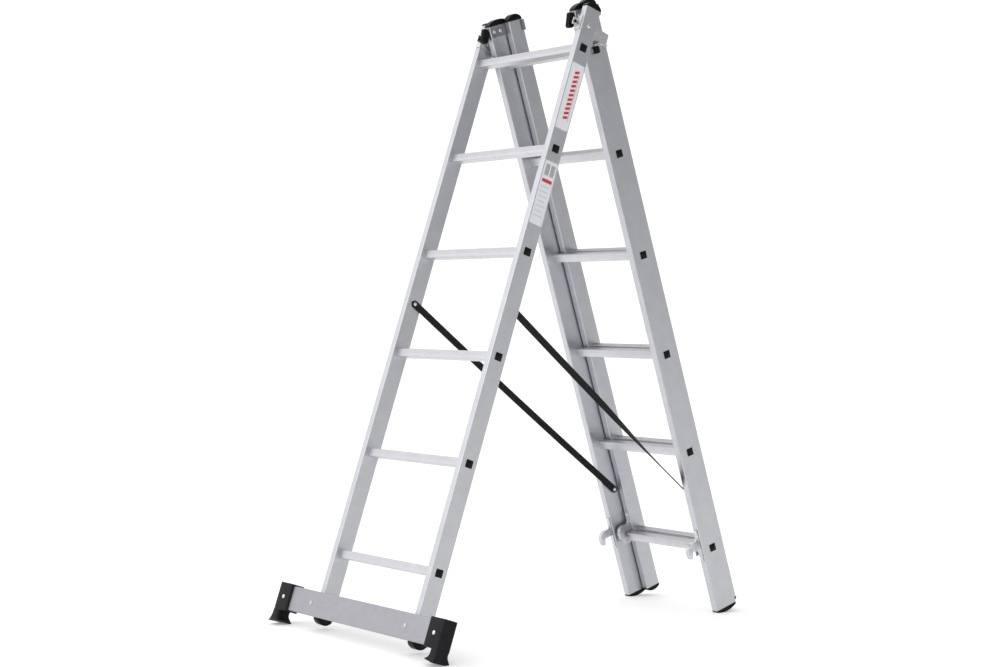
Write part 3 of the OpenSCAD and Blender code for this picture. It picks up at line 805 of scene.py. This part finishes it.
for end, place, spot in STRAP_ENDS:
    spots = [((side * (spot[0] - 1.5), spot[1], spot[2]), (-side, 0, 0)) for side in SIDES]
    heads("strap_rivets_" + end, place, end + "_section", spots, 5.0, 1.4)

# ---- labels -------------------------------------------------------------------------------------

LABEL_X = front_high.x
LABEL_W = 41
LABEL_UPPER_Z = -136
LABEL_LOWER_Z = -401
FILM_T = 0.2


def label_patch(name, y, z, width, height, material, layer=0, lean=0.0):
    """Flat film patch centred at y, z on the right front stile's outer face."""
    near, far = y - width / 2, y + width / 2
    low, high = z - height / 2, z + height / 2
    corners = [(near, low), (far, low + lean), (far, high + lean), (near, high)]
    mesh = bmesh.new()
    base = LABEL_X + layer * FILM_T
    add_slab(mesh, rounded(corners, min(2.0, width / 5), 4), base, base + FILM_T, 0.05, 1)
    finish_piece(name, mesh, FRONT, "front_section", material)


label_patch("label_upper", 0, LABEL_UPPER_Z, LABEL_W, 180, film_white)
for i in range(11):
    label_patch(f"label_upper_bar_{i}", 2, -72 - i * 12.4, 15, 7.5, film_red, 1, 6.0)
label_patch("label_upper_line", 11.5, LABEL_UPPER_Z, 1.4, 128, film_grey, 1)
label_patch("label_lower", 0, LABEL_LOWER_Z, LABEL_W, 170, film_white)
label_patch("label_lower_mark_a", -8, -340, 13, 30, film_grey, 1)
label_patch("label_lower_mark_b", 9, -340, 13, 30, film_grey, 1)
label_patch("label_lower_bar", 0, -369, 32, 9, film_red, 1)
for i in range(7):
    label_patch(f"label_lower_line_{i}", -1 - (i % 2), -385 - i * 13, 30 - 5 * (i % 2), 1.2, film_grey, 1)

# ---- stage ---------------------------------------------------------------------------------------


def stage_floor():
    mesh = bmesh.new()
    bmesh.ops.create_grid(mesh, x_segments=1, y_segments=1, size=60)
    data = bpy.data.meshes.new("floor")
    mesh.to_mesh(data)
    mesh.free()
    nodes = Nodes("floor_paint", (0.9, 0.9, 0.9), 0.0, 0.85)
    nodes.shader.inputs["Emission Color"].default_value = (1, 1, 1, 1)
    nodes.shader.inputs["Emission Strength"].default_value = 0.22
    data.materials.append(nodes.material)
    floor = bpy.data.objects.new("floor", data)
    bpy.context.scene.collection.objects.link(floor)


def soft_light(name, spot, target, size, power):
    data = bpy.data.lights.new(name, "AREA")
    data.shape = "RECTANGLE"
    data.size, data.size_y = size
    data.energy = power
    light = bpy.data.objects.new(name, data)
    light.location = spot
    light.rotation_euler = (Vector(target) - Vector(spot)).to_track_quat("-Z", "Y").to_euler()
    bpy.context.scene.collection.objects.link(light)


def studio_world():
    """Pale surround: brighter to the front left, where the front faces look, dimmer to the rear right."""
    world = bpy.data.worlds.new("studio")
    world.use_nodes = True
    bpy.context.scene.world = world
    tree = world.node_tree
    back = tree.nodes["Background"]
    coords = tree.nodes.new("ShaderNodeTexCoord")
    side = tree.nodes.new("ShaderNodeVectorMath")
    side.operation = "DOT_PRODUCT"
    side.inputs[1].default_value = (-0.8, -0.6, 0)
    level = tree.nodes.new("ShaderNodeMapRange")
    level.interpolation_type = "SMOOTHSTEP"
    level.inputs["From Min"].default_value = -0.95
    level.inputs["From Max"].default_value = -0.1
    level.inputs["To Min"].default_value = 0.26
    level.inputs["To Max"].default_value = 1.15
    tree.links.new(coords.outputs["Generated"], side.inputs[0])
    tree.links.new(side.outputs["Value"], level.inputs["Value"])
    tree.links.new(level.outputs["Result"], back.inputs["Strength"])
    back.inputs["Color"].default_value = (1, 1, 1, 1)


CAMERA_FROM_RUNG = Vector((4.1787, -3.1438, -0.6573))
YAW, PITCH, ROLL = (math.radians(angle) for angle in (53.91, -0.92, -0.13))


def photo_camera():
    """Camera at the photograph's place, given from the front section's top rung."""
    forward = Vector((-math.sin(YAW) * math.cos(PITCH), math.cos(YAW) * math.cos(PITCH), math.sin(PITCH)))
    level = Vector((math.cos(YAW), math.sin(YAW), 0))
    rise = level.cross(forward)
    right = level * math.cos(ROLL) + rise * math.sin(ROLL)
    up = rise * math.cos(ROLL) - level * math.sin(ROLL)
    turn = Matrix((right, up, -forward)).transposed().to_4x4()
    data = bpy.data.cameras.new("camera")
    data.lens = 69.98
    data.sensor_width = 36
    data.clip_end = 200
    camera = bpy.data.objects.new("camera", data)
    camera.matrix_world = Matrix.Translation(front_origin + CAMERA_FROM_RUNG) @ turn
    bpy.context.scene.collection.objects.link(camera)
    bpy.context.scene.camera = camera


bpy.context.scene.view_settings.view_transform = "Standard"
stage_floor()
studio_world()
soft_light("key", (-2.5, -5.5, 4.0), (0, 0, 0.9), (3.5, 3.0), 50)
soft_light("fill", (5.5, -1.0, 3.0), (0, 0, 0.8), (3.0, 3.0), 12)
photo_camera()
